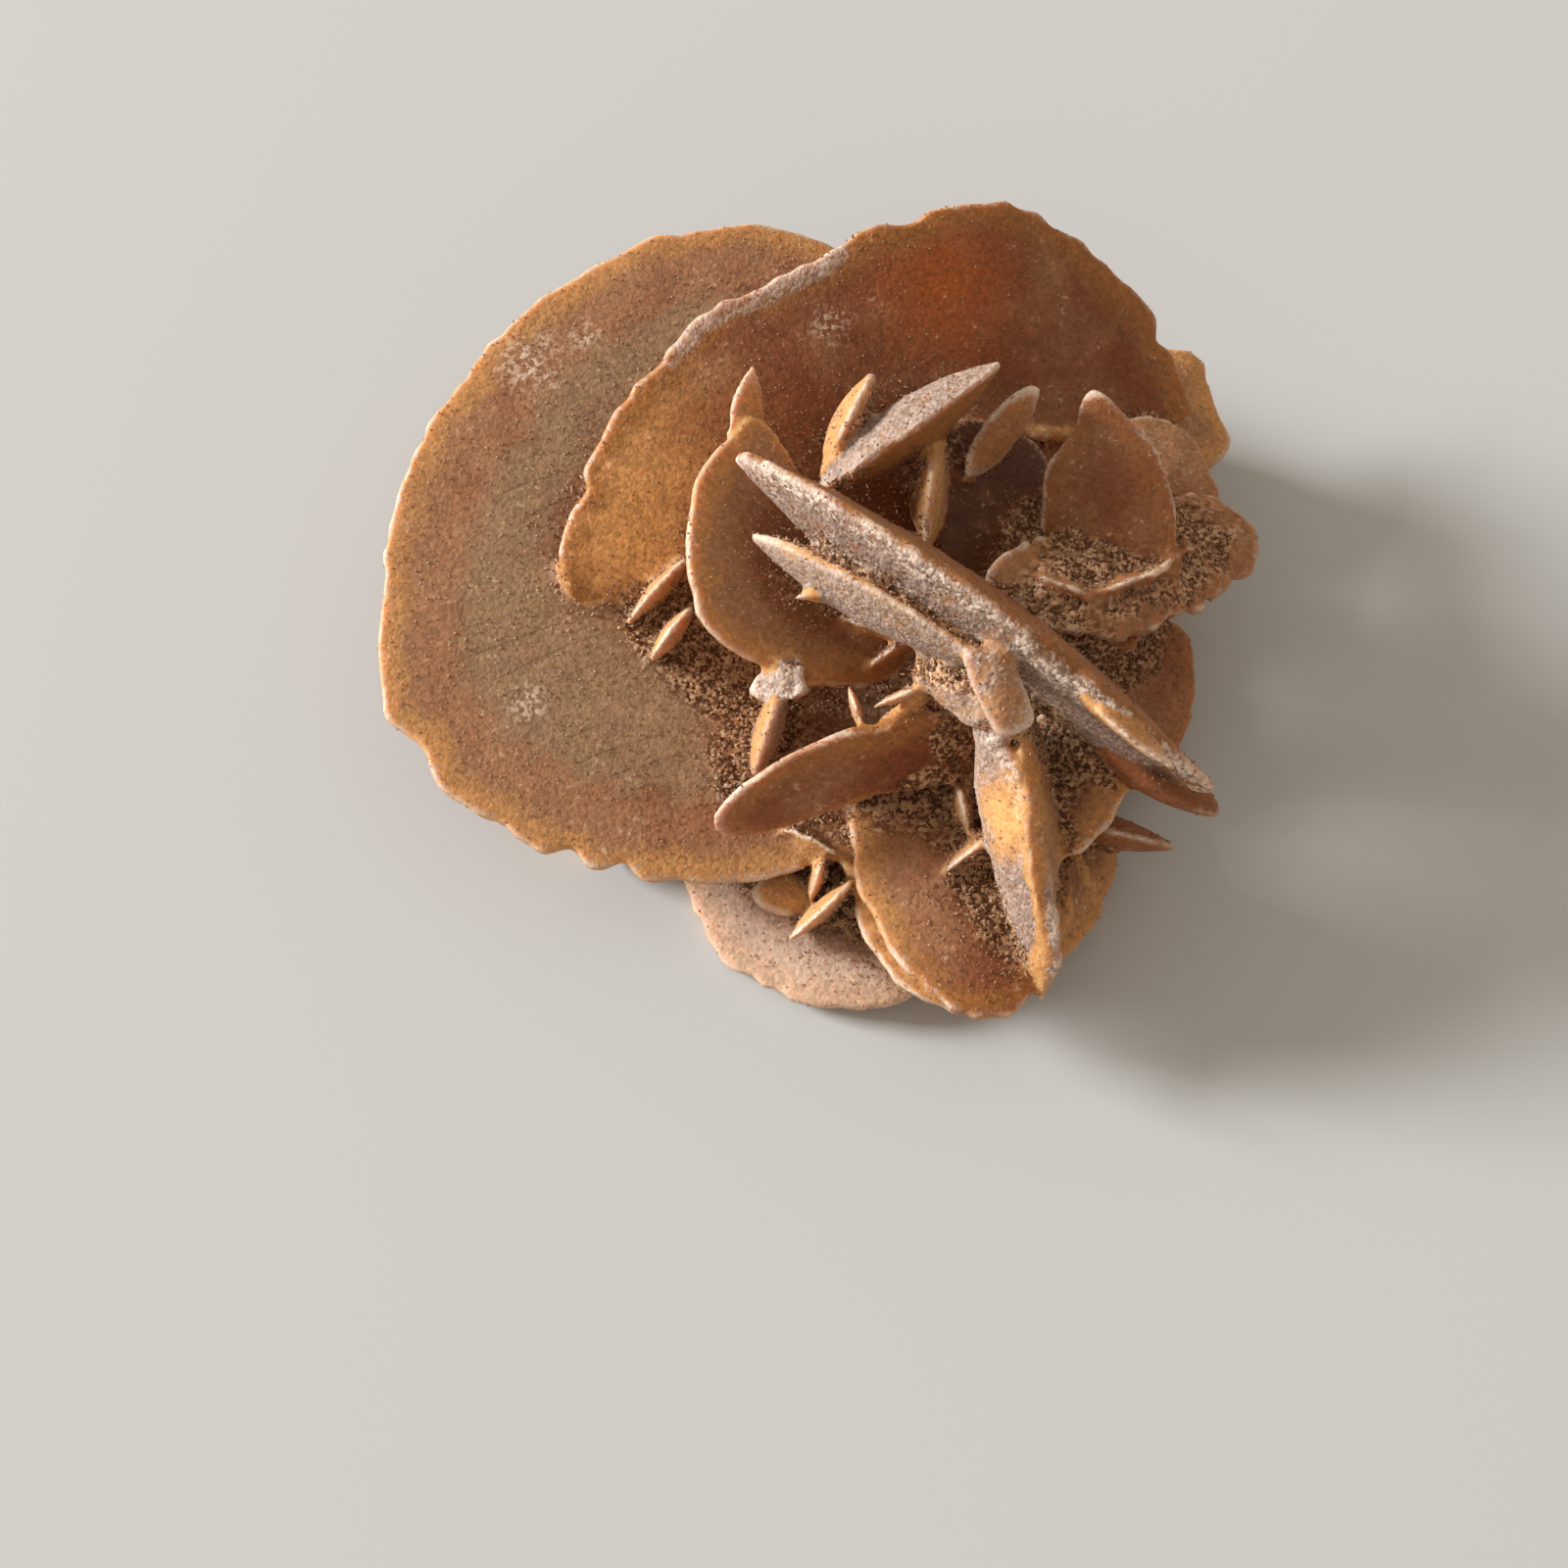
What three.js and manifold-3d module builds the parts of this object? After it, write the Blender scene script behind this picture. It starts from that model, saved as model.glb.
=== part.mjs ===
// A gypsum sand rose: lens-shaped gypsum crystals that grew through each other in sand.
// Every crystal overlaps its neighbours, so the whole rose is one solid, worn flat underneath.
// Millimetres, +Z up. The origin is at the bottom, in the middle of the rose.

import * as THREE from "three";
import { mergeVertices } from "three/addons/utils/BufferGeometryUtils.js";
import Module from "manifold-3d";

// Driving dimensions
const ROSE_LENGTH = 90;
const FACET_LENGTH = 7.5;
const FEWEST_FACETS = 8;
const MOST_FACETS = 22;
const WIDE_FACE_RINGS = [0.5, 0.85];
const NARROW_FACE_RINGS = [0.7];
const WIDE_FROM = 15;
const ROOM = 2 * ROSE_LENGTH;
const GYPSUM_COLOUR = 0xb58860;

// How a crystal is described:
//   at      its middle, in millimetres before the whole is brought to its length
//   up      for a plate: the way that its upper face looks
//   along   for a blade: its long axis, and facing is the way that its free edge looks
//   turn    degrees that a plate is turned about its own axis
//   size    half its length and half its width
//   thick   its thickness in the middle, and lip the thickness of its edge
//   cup     how far the edge rises above the middle
//   corner  2 for an ellipse, less for pointed ends, more for a squarer outline
//   rim     how far the outline stands out at equal steps round it, 1 being the plain outline

const TOWARDS_LIGHT_AND_SKY = [0, -0.41, 0.91];

// The broad plates that the eye sees first
const MAIN_PLATES = [
  { at: [-6.5, 21, 13], up: [0.1, -0.14, 0.985], size: [35, 38], thick: 5, lip: 1.6, cup: 1.5,
    rim: [0.95, 0.95, 1, 1, 0.94, 0.95, 1.01, 1.12, 1.04, 0.96, 0.95, 0.93] },
  { at: [12, 24, 14], up: [0.24, -0.52, 0.82], size: [33, 32], thick: 5.5, lip: 1.8, cup: -1.5,
    rim: [1.05, 1.08, 1.1, 1.13, 1.14, 1.12, 1.03, 0.94, 0.9, 0.92, 0.95, 0.99, 1.05, 1.1, 0.8,
      0.82, 0.9, 0.9, 0.9, 0.9, 0.9, 0.92, 0.95, 1] },
  { at: [5, 14, 21], up: [0.35, -0.25, 0.9], size: [15.5, 15.5], thick: 3.5, lip: 1.2, cup: 1,
    rim: [0.8, 0.75, 0.7, 0.5, 0.35, 0.25, 0.22, 0.35, 1.13, 1.15, 1.15, 1.1, 1.08, 1.05, 1, 0.9,
      0.84, 0.82, 0.8, 0.8, 0.8, 0.8, 0.8, 0.8] },
  { at: [17.4, -13, 9], up: [0.14, 0.05, 0.985], size: [11.5, 17], thick: 4, lip: 1.2, cup: 0.5,
    rim: [1, 0.9, 0.85, 0.9, 1.05, 1.05, 0.98, 0.9, 0.87, 1, 1.08, 1.05] },
  { at: [17, -13.5, 7.2], up: [0.14, 0.05, 0.985], size: [11.8, 16.4], thick: 3, lip: 1,
    rim: [1, 0.9, 0.9, 0.9, 1, 1.05, 1.02, 0.95, 0.88, 0.95, 1, 1] },
  { at: [6, -8, 3], up: [-0.12, -0.05, 0.99], size: [18, 18], thick: 5, lip: 2,
    rim: [1, 0.95, 0.9, 0.9, 0.9, 0.9, 0.95, 1, 0.97, 1.02, 1.05, 1] },
];

// The blades that stand on edge across the plates
const MAIN_BLADES = [
  { at: [18.4, 4.7, 28], along: [0.81, -0.54, -0.21], facing: [0, -0.26, 0.96], size: [28.2, 11.5],
    thick: 7.5, lip: 1.6, corner: 1.8, rim: [1, 1, 1, 1, 1, 1, 1, 0.7, 0.6, 0.6, 0.6, 0.7] },
  { at: [8.5, 5.8, 30.3], along: [0.8, -0.57, 0.12], facing: [0, -0.26, 0.96], size: [14, 5.6],
    thick: 4.2, lip: 1, corner: 1.8 },
  { at: [35.5, -6.3, 20.3], along: [0.8, -0.5, -0.3], facing: [-0.3, -0.6, 0.7], size: [9.5, 4.6],
    thick: 5.5, lip: 1, corner: 1.7 },
  { at: [7.5, -6.6, 15.6], along: [0.94, 0.34, 0.05], facing: [-0.16, 0.44, 0.88],
    size: [15.5, 7.4], thick: 3.5, lip: 1.4, cup: 0.8, corner: 2.2,
    rim: [1, 1, 1, 1, 1, 1, 0.95, 0.45, 0.3, 0.3, 0.35, 0.8] },
  { at: [22.9, -15.5, 18.2], along: [0.26, -0.79, -0.55], facing: [0.66, -0.31, 0.69],
    size: [13.4, 4], thick: 2.8, lip: 1, corner: 1.8 },
  { at: [25, -12.9, 19], along: [0.1, -0.83, -0.55], facing: [-0.3, -0.63, 0.72], size: [11.5, 4.6],
    thick: 2.6, lip: 1, corner: 1.8 },
  { at: [23.4, -14.6, 15.8], along: [0.16, -0.83, -0.53], facing: [0.08, 0.25, 0.9],
    size: [14, 5.6], thick: 3.4, lip: 1, corner: 1.8 },
  { at: [12.3, 25.4, 30.5], along: [0.81, 0.55, 0.18], facing: [0.12, -0.5, 0.85], size: [11.3, 6],
    thick: 5.4, lip: 1, corner: 1.7 },
];

// The fan of plates on the right-hand side
const FAN = [
  { at: [21, 22, 22], up: [0.5, -0.25, 0.83], size: [9, 9], thick: 3, lip: 1 },
  { at: [33.4, 19, 24], up: [-0.2, -0.5, 0.84], turn: 6, size: [6.5, 13], thick: 3, lip: 1,
    corner: 1.7, rim: [1, 1, 0.95, 1.02, 0.95, 1, 1.1, 1.1, 1, 1, 1, 1] },
  { at: [24, 10.5, 23.4], up: [0.45, -0.35, 0.82], size: [4.5, 5], thick: 2, lip: 0.8 },
  { at: [36, 14.8, 21.5], up: [0.2, 0.1, 0.97], turn: 28, size: [14.5, 7], thick: 4, lip: 1.6,
    corner: 2.4 },
  { at: [39.5, 26, 16], up: [0.25, 0, 0.97], size: [7.5, 10], thick: 3.5, lip: 1.4 },
  { at: [41, 39.5, 12], up: [0.2, -0.1, 0.97], turn: 15, size: [7.5, 7.5], thick: 3, lip: 1.4,
    corner: 3.5 },
  { at: [35, 7, 9], up: [0.15, -0.35, 0.92], size: [9, 10], thick: 5, lip: 1.8 },
  { at: [29, -6, 17.5], up: [-0.3, -0.3, 0.9], turn: -25, size: [6, 9.5], thick: 2.5, lip: 1 },
  { at: [33, -8.8, 8], along: [0.97, -0.22, -0.1], size: [7.5, 4.5], thick: 3.4, lip: 0.8,
    corner: 1.7 },
  { at: [28, -13.5, 7], up: [0.4, -0.1, 0.9], turn: -25, size: [6, 11.5], thick: 4, lip: 1.4 },
  { at: [30, 15, 16.5], up: [0, -0.1, 1], size: [9.5, 9], thick: 11, lip: 3 },
];

// Small blades and chips that stick out of the big ones
const SMALL_CRYSTALS = [
  { at: [6.6, 26.5, 30], along: [0.43, 0.88, 0.2], size: [5.8, 4.5], thick: 3.4, lip: 0.8,
    corner: 1.6 },
  { at: [14.6, 21, 27.5], along: [-0.05, -0.95, -0.32], size: [7.6, 5], thick: 3.2, lip: 0.8,
    corner: 1.7 },
  { at: [22, 26.5, 28], along: [0.63, 0.74, 0.25], facing: [-0.6, 0.3, 0.75], size: [5.8, 2],
    thick: 2, lip: 0.8, corner: 1.7 },
  { at: [-3.8, 28.4, 28.2], along: [0.1, 0.94, 0.33], facing: [-0.7, 0, 0.7], size: [5, 2.2],
    thick: 1.6, lip: 0.6, corner: 1.6 },
  { at: [18.5, -1.6, 26.8], up: [-0.42, -0.5, 0.76], turn: -35, size: [6.5, 3.4], thick: 6, lip: 2,
    corner: 2.5 },
  { at: [20.3, -5, 33], along: [0.45, -0.85, -0.4], facing: [0.85, 0.4, 0.2], size: [4, 2],
    thick: 2.6, lip: 1.8, corner: 4 },
  { at: [-1.5, -1, 16], along: [-0.28, -0.95, -0.1], size: [5.5, 5], thick: 3, lip: 1.2 },
  { at: [-0.6, 2, 20.5], up: [-0.5, -0.3, 0.8], size: [3, 1.5], thick: 2.2, lip: 1.2, corner: 2.6 },
  { at: [-13, 14, 17.5], along: [0.68, 0.62, 0.38], size: [4.6, 3.5], thick: 2.2, lip: 0.8,
    corner: 1.7 },
  { at: [-11.5, 9.3, 17], along: [0.62, 0.69, 0.4], size: [3.6, 3.4], thick: 2.2, lip: 0.8,
    corner: 1.6 },
  { at: [7.2, -0.8, 20], along: [0.3, -0.9, -0.3], size: [2.4, 2], thick: 1.2, lip: 0.6,
    corner: 1.6 },
  { at: [4, -17.2, 7.5], along: [0.7, 0.5, 0.46], size: [4.6, 3.2], thick: 2, lip: 0.7,
    corner: 1.7 },
  { at: [3.4, -14, 8], along: [0.3, 0.9, 0.1], size: [2.4, 2.6], thick: 1.6, lip: 0.7,
    corner: 1.6 },
  { at: [0, -15, 6], up: [0.2, -0.2, 0.95], size: [3.4, 2.2], thick: 1.8, lip: 0.8 },
  { at: [19, -12.8, 13], along: [0.75, 0.5, 0.4], size: [3.8, 3.2], thick: 1.8, lip: 0.7 },
  { at: [18, -9, 14], along: [0.2, -0.95, 0.1], size: [2.4, 3], thick: 1.4, lip: 0.7 },
  { at: [13, -0.5, 21], along: [0.8, 0.45, 0.2], size: [3.4, 2.8], thick: 1.8, lip: 0.8 },
  { at: [3, 52, 26], up: [-0.2, -0.3, 0.93], turn: 20, size: [3.6, 2.4], thick: 3, lip: 1.8,
    corner: 3.5 },
];

// What the rose stands on: level plates low down, and blades on edge that reach the table
const UNDERSIDE = [
  { at: [-4, 16, 5.5], up: [-0.06, 0.05, 1], size: [24, 22], thick: 6, lip: 2 },
  { at: [22, 14, 6], up: [0.1, 0.02, 1], size: [19, 20], thick: 6, lip: 2 },
  { at: [-20, 18, 6], along: [0.97, 0.2, 0], facing: [0, 0, 1], size: [16, 9], thick: 5, lip: 1.4 },
  { at: [2, 42, 7], along: [0.25, 0.96, 0], facing: [0, 0, 1], size: [14, 10], thick: 5, lip: 1.4 },
  { at: [29, 36, 7], along: [0.75, 0.65, 0], facing: [0, 0, 1], size: [14, 10], thick: 5,
    lip: 1.4 },
  { at: [27, -6, 4], along: [0.4, -0.92, 0], facing: [0, 0, 1], size: [12, 6], thick: 5, lip: 1.4 },
  { at: [-12, 0, 4], along: [0.6, 0.75, 0], facing: [0, 0, 1], size: [13, 6], thick: 5, lip: 1.4 },
  { at: [-20, 24, 8], up: [-0.45, 0.1, 0.88], size: [14, 17], thick: 4, lip: 1.4 },
  { at: [8, 42, 13], up: [0.1, 0.3, 0.95], size: [20, 12], thick: 4, lip: 1.4 },
  { at: [20, 40, 12], up: [0.15, 0.7, 0.7], size: [17, 12], thick: 4, lip: 1.4 },
  { at: [-8, 40, 8], along: [-0.5, 0.85, 0], facing: [0, 0, 1], size: [9, 7], thick: 3.4, lip: 1 },
  { at: [14, 47, 12], along: [0.9, 0.3, 0.1], facing: [0, -0.2, 1], size: [8, 7], thick: 3,
    lip: 1 },
  { at: [30, 43, 9], up: [0.5, 0.4, 0.76], size: [9, 7], thick: 3, lip: 1 },
  { at: [-24, 30, 5.5], along: [0.7, -0.7, 0], facing: [0, 0, 1], size: [8, 6], thick: 3, lip: 1 },
  { at: [38, 22, 8], along: [0.95, 0.3, 0], facing: [0, 0, 1], size: [8, 7], thick: 3.4, lip: 1 },
];
const CRYSTALS = [...MAIN_PLATES, ...MAIN_BLADES, ...FAN, ...SMALL_CRYSTALS, ...UNDERSIDE];

const wasm = await Module();
wasm.setup();

// The crystal's own axes: u along it, v across it, w through it
function crystalAxes({ up, along, facing = TOWARDS_LIGHT_AND_SKY, turn = 0 }) {
  if (along) {
    const u = new THREE.Vector3(...along).normalize();
    const v = new THREE.Vector3(...facing);
    v.addScaledVector(u, -v.dot(u)).normalize();
    return [u, v, u.clone().cross(v)];
  }
  const w = new THREE.Vector3(...up).normalize();
  const tilt = new THREE.Quaternion().setFromUnitVectors(new THREE.Vector3(0, 0, 1), w);
  const angle = THREE.MathUtils.degToRad(turn);
  const u = new THREE.Vector3(Math.cos(angle), Math.sin(angle), 0).applyQuaternion(tilt);
  return [u, w.clone().cross(u), w];
}

// A smooth closed curve through the rim's values, read at a fraction of the way round
function rimFactor(rim, fraction) {
  if (!rim) {
    return 1;
  }
  const place = fraction * rim.length;
  const step = Math.floor(place);
  const t = place - step;
  const value = (offset) => rim[(step + offset + rim.length) % rim.length];
  const slopeHere = (value(1) - value(-1)) / 2;
  const slopeNext = (value(2) - value(0)) / 2;
  const rise = value(1) - value(0);
  return value(0) + slopeHere * t + (3 * rise - 2 * slopeHere - slopeNext) * t ** 2
    + (slopeHere + slopeNext - 2 * rise) * t ** 3;
}

// A superellipse whose radius is then drawn in or out by the rim's values
function outlinePoint({ size, corner = 2, rim }, fraction) {
  const angle = fraction * 2 * Math.PI;
  const bend = (value) => Math.sign(value) * Math.abs(value) ** (2 / corner);
  const reach = rimFactor(rim, fraction);
  return [reach * size[0] * bend(Math.cos(angle)), reach * size[1] * bend(Math.sin(angle))];
}

// The closed lens: a middle point on each face, rings of points, and a wall round the edge
function lensGeometry(crystal) {
  const { at, size, thick, lip, cup = 0 } = crystal;
  const [u, v, w] = crystalAxes(crystal);
  const round = Math.PI * (size[0] + size[1]);
  const facets = THREE.MathUtils.clamp(Math.round(round / FACET_LENGTH), FEWEST_FACETS, MOST_FACETS);
  const faceRings = Math.max(...size) > WIDE_FROM ? WIDE_FACE_RINGS : NARROW_FACE_RINGS;
  const positions = [];
  const triangles = [];

  const addPoint = (along, across, through) => {
    const point = new THREE.Vector3(...at);
    point.addScaledVector(u, along).addScaledVector(v, across).addScaledVector(w, through);
    positions.push(...point.toArray());
    return positions.length / 3 - 1;
  };
  const addRing = (reach, side) => {
    const through = cup * reach ** 2 + side * (lip + (thick - lip) * (1 - reach ** 2)) / 2;
    return Array.from({ length: facets }, (_, index) => {
      const [along, across] = outlinePoint(crystal, index / facets);
      return addPoint(reach * along, reach * across, through);
    });
  };
  const joinRings = (inner, outer) => {
    for (let index = 0; index < facets; index++) {
      const next = (index + 1) % facets;
      triangles.push(inner[index], outer[index], outer[next]);
      triangles.push(inner[index], outer[next], inner[next]);
    }
  };

  const topRings = [...faceRings, 1].map((reach) => addRing(reach, 1));
  const bottomRings = [...faceRings, 1].map((reach) => addRing(reach, -1)).reverse();
  const rings = [...topRings, ...bottomRings];
  rings.slice(1).forEach((ring, index) => joinRings(rings[index], ring));

  const top = addPoint(0, 0, thick / 2);
  const bottom = addPoint(0, 0, -thick / 2);
  const lowest = rings[rings.length - 1];
  for (let index = 0; index < facets; index++) {
    const next = (index + 1) % facets;
    triangles.push(top, rings[0][index], rings[0][next]);
    triangles.push(bottom, lowest[next], lowest[index]);
  }

  const geometry = new THREE.BufferGeometry();
  geometry.setAttribute("position", new THREE.Float32BufferAttribute(positions, 3));
  geometry.setIndex(triangles);
  return geometry;
}

function toSolid(geometry) {
  return new wasm.Manifold(new wasm.Mesh({
    numProp: 3,
    vertProperties: new Float32Array(geometry.attributes.position.array),
    triVerts: new Uint32Array(geometry.index.array),
  }));
}

// Everything above the table, as a box to cut the worn, flat underside with
function aboveTheTable() {
  const box = new THREE.BoxGeometry(ROOM, ROOM, ROOM);
  box.translate(0, 0, ROOM / 2);
  box.deleteAttribute("normal");
  box.deleteAttribute("uv");
  return toSolid(mergeVertices(box));
}

// Which points are joined to each other by triangles, as one label for each point
function labelBodies(count, triangles) {
  const parent = Array.from({ length: count }, (_, index) => index);
  const find = (index) => {
    while (parent[index] !== index) {
      parent[index] = parent[parent[index]];
      index = parent[index];
    }
    return index;
  };
  for (let index = 0; index < triangles.length; index += 3) {
    parent[find(triangles[index])] = find(triangles[index + 1]);
    parent[find(triangles[index])] = find(triangles[index + 2]);
  }
  return parent.map((_, index) => find(index));
}

// The outer skin alone: small pockets sealed between the crystals are filled with gypsum
function outerSkin(solid) {
  const { vertProperties, triVerts } = solid.getMesh();
  const labels = labelBodies(vertProperties.length / 3, triVerts);
  const sizes = new Map();
  for (let index = 0; index < triVerts.length; index += 3) {
    const label = labels[triVerts[index]];
    sizes.set(label, (sizes.get(label) ?? 0) + 1);
  }
  const largest = [...sizes.keys()].reduce((a, b) => (sizes.get(a) >= sizes.get(b) ? a : b));
  const kept = [];
  for (let index = 0; index < triVerts.length; index += 3) {
    if (labels[triVerts[index]] === largest) {
      kept.push(...triVerts.slice(index, index + 3));
    }
  }
  const geometry = new THREE.BufferGeometry();
  geometry.setAttribute("position", new THREE.BufferAttribute(vertProperties, 3));
  geometry.setIndex(kept);
  return geometry;
}

function roseGeometry() {
  const grown = CRYSTALS.map((crystal) => toSolid(lensGeometry(crystal)))
    .reduce((rose, crystal) => rose.add(crystal));
  const geometry = outerSkin(grown.intersect(aboveTheTable()));
  geometry.computeBoundingBox();
  const middle = geometry.boundingBox.getCenter(new THREE.Vector3());
  const asGrown = geometry.boundingBox.getSize(new THREE.Vector3());
  const scale = ROSE_LENGTH / asGrown.x;
  geometry.translate(-middle.x, -middle.y, 0);
  geometry.scale(scale, scale, scale);
  geometry.computeVertexNormals();
  return geometry;
}

function makeRose() {
  const gypsum = new THREE.MeshStandardMaterial({
    color: GYPSUM_COLOUR,
    roughness: 0.75,
    metalness: 0,
  });
  const rose = new THREE.Mesh(roseGeometry(), gypsum);
  rose.name = "sand_rose";
  return rose;
}

const sandRose = new THREE.Group();
sandRose.add(makeRose());

export default sandRose;
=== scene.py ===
import math

import bpy
import numpy as np
import openvdb
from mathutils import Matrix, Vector


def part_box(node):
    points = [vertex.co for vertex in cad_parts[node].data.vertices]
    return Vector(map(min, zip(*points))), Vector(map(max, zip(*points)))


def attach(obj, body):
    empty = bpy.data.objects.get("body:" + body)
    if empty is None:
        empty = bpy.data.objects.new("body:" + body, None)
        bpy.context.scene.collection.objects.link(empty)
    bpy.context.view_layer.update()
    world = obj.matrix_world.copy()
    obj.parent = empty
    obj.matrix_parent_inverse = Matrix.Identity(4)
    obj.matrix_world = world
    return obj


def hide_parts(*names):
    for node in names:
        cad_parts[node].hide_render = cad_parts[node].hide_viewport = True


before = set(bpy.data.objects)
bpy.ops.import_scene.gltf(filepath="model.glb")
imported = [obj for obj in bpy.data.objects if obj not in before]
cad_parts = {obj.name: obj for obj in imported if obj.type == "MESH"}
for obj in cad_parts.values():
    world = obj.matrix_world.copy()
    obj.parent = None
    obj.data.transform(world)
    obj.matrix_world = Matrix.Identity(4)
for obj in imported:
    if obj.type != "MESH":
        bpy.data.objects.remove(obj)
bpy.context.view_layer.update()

# The rose: lens-shaped gypsum crystals that grew through each other in wet desert sand, as one
# solid with sand grains locked inside. Nothing is fixed: each crystal is grown into its neighbours,
# and the whole has been worn flat where it stands.

MM = 0.001
ROSE_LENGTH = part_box("sand_rose")[1][0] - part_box("sand_rose")[0][0]
GROWN_LENGTH = 91.231
GROWN_MIDDLE = (3.017, 14.204)
GROWN_TO_METRES = ROSE_LENGTH / GROWN_LENGTH
FRONT_AND_UP = (0, -0.41, 0.91)

# Sizes are in millimetres as grown, before the rose is scaled to its length. A plate says which
# way its face looks (up) and how far it is turned in its plane. A blade says which way it runs
# (along) and which way its upper edge points (facing). Thick is at the middle and lip at the rim,
# cup bows the face, corner is 2 for a round outline and less for a pointed one, rim stretches the
# outline in even steps round it, and bites are notches: degrees, width and depth. Crust is sand
# grown through the crystal. The rest is colour: tone from dark to pale, partly the crystal's own
# and partly painted shade on crystals that sit in shade, honey at the rim, veil, frost in front and
# behind, a frosted bevel from one angle to another, a white ridge, and spots by place and width in
# the crystal's own plane: blots (some of them painted shade), scuffs, beds, and spots of painted
# red and honey glow where light shines through.

# The broad plates
main_plates = [
    dict(at=(-6.5, 21, 13), up=(0.1, -0.14, 0.985), size=(35, 38), thick=5, lip=1.6, cup=1.5,
         veil=1, blots=((-6, -24, 13, -0.4), (2, 28, 16, -0.25), (-3, -17, 8, -0.2)),
         bites=((244, 1.6, 1.5), (253, 1.3, 1.7), (217, 2.5, 1.1), (232, 2, 0.8)),
         scuffs=((-21, 20, 3.6), (-15.5, 23.5, 1.8), (-20, -18, 2.2), (2, -27, 2)),
         beds=((0, -13, 7), (-6, -8.5, 5), (4, -24, 6)),
         rim=(0.95, 0.95, 1, 1, 0.94, 0.95, 1.01, 1.12, 1.04, 0.96, 0.95, 0.93)),
    dict(at=(12, 24, 14), up=(0.24, -0.52, 0.82), size=(33, 32), thick=5.5, lip=1.8, cup=-1.5,
         tone=-0.5, bevel=(98, 176), bites=((178, 1.5, 0.9), (38, 1.2, 1)),
         # The red and honey glow spots on the back plate are painted light shining through it
         painted_red_glows=((3, 25, 12),), painted_honey_glows=((-31, -2, 26),), scuffs=((-9, 20, 1.8),),
         rim=(1.05, 1.08, 1.1, 1.13, 1.14, 1.12, 1.03, 0.94, 0.9, 0.92, 0.95, 0.99,
              1.05, 1.1, 0.8, 0.82, 0.9, 0.9, 0.9, 0.9, 0.9, 0.92, 0.95, 1)),
    dict(at=(5, 14, 21), up=(0.35, -0.25, 0.9), size=(15.5, 15.5), thick=3.5, lip=1.2, cup=1,
         tone=-0.1, crust=-0.5, bites=((112, 1.6, 6),), blots=((5, -13, 9, -0.5),),
         beds=((6, -15, 6),),
         rim=(0.8, 0.75, 0.7, 0.5, 0.35, 0.25, 0.22, 0.35, 1.13, 1.15, 1.15, 1.1,
              1.08, 1.05, 1, 0.9, 0.84, 0.82, 0.8, 0.8, 0.8, 0.8, 0.8, 0.8)),
    dict(at=(17.4, -13, 9), up=(0.14, 0.05, 0.985), size=(11.5, 17), thick=4, lip=1.2, cup=0.5,
         blots=((2, -15, 12, -0.5),),
         rim=(1, 0.9, 0.85, 0.9, 1.05, 1.05, 0.98, 0.9, 0.87, 1, 1.08, 1.05)),
    dict(at=(17, -13.5, 7.2), up=(0.14, 0.05, 0.985), size=(11.8, 16.4), thick=3, lip=1,
         rim=(1, 0.9, 0.9, 0.9, 1, 1.05, 1.02, 0.95, 0.88, 0.95, 1, 1)),
    dict(at=(6, -8, 3), up=(-0.12, -0.05, 0.99), size=(18, 18), thick=5, lip=2,
         tone=1, honey=0.35,
         rim=(1, 0.95, 0.9, 0.9, 0.9, 0.9, 0.95, 1, 0.97, 1.02, 1.05, 1)),
]

# The blades that stand on edge across the plates
main_blades = [
    dict(at=(18.4, 4.7, 28), along=(0.81, -0.54, -0.21), facing=(0, -0.26, 0.96),
         size=(28.2, 11.5), thick=7.5, lip=1.6, corner=1.8, tone=-0.25, honey=0.7,
         frost=(0.75, 0), ridge=1, blots=((25, -2, 10, -0.8),),
         rim=(1, 1, 1, 1, 1, 1, 1, 0.7, 0.6, 0.6, 0.6, 0.7)),
    dict(at=(8.5, 5.8, 30.3), along=(0.8, -0.57, 0.12), facing=(0, -0.26, 0.96), size=(14, 5.6),
         thick=4.2, lip=1, corner=1.8, frost=(0.75, 0.05)),
    dict(at=(35.5, -6.3, 20.3), along=(0.8, -0.5, -0.3), facing=(-0.3, -0.6, 0.7), size=(9.5, 4.6),
         thick=5.5, lip=1, corner=1.7, tone=-0.8, honey=0.3),
    dict(at=(7.5, -6.6, 15.6), along=(0.94, 0.34, 0.05), facing=(-0.16, 0.44, 0.88),
         size=(15.5, 7.4), thick=3.5, lip=1.4, cup=0.8, corner=2.2, tone=-0.42, frost=(0, 0),
         blots=((4, 0, 8, -0.4),), beds=((6, -3, 4), (-2, -3.5, 3), (10, 2, 3)),
         rim=(1, 1, 1, 1, 1, 1, 0.95, 0.45, 0.3, 0.3, 0.35, 0.8)),
    dict(at=(22.9, -15.5, 18.2), along=(0.26, -0.79, -0.55), facing=(0.66, -0.31, 0.69),
         size=(13.4, 4), thick=2.8, lip=1, corner=1.8, honey=0.4, frost=(0.75, 0), ridge=0.5,
         # Its glow spot is painted light shining through the blade
         painted_honey_glows=((-4, 1.5, 7),)),
    dict(at=(25, -12.9, 19), along=(0.1, -0.83, -0.55), facing=(-0.3, -0.63, 0.72),
         size=(11.5, 4.6), thick=3.2, lip=1, corner=1.8, tone=0.1, frost=(0, 0)),
    dict(at=(23.4, -14.6, 15.8), along=(0.16, -0.83, -0.53), facing=(0.08, 0.25, 0.9),
         size=(15, 5.6), thick=3.6, lip=1, corner=1.8),
    dict(at=(12.3, 25.4, 30.5), along=(0.81, 0.55, 0.18), facing=(0.12, -0.5, 0.85),
         size=(11.3, 6), thick=5.4, lip=1, corner=1.7, tone=-0.4, frost=(0.05, 0.75)),
]
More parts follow.
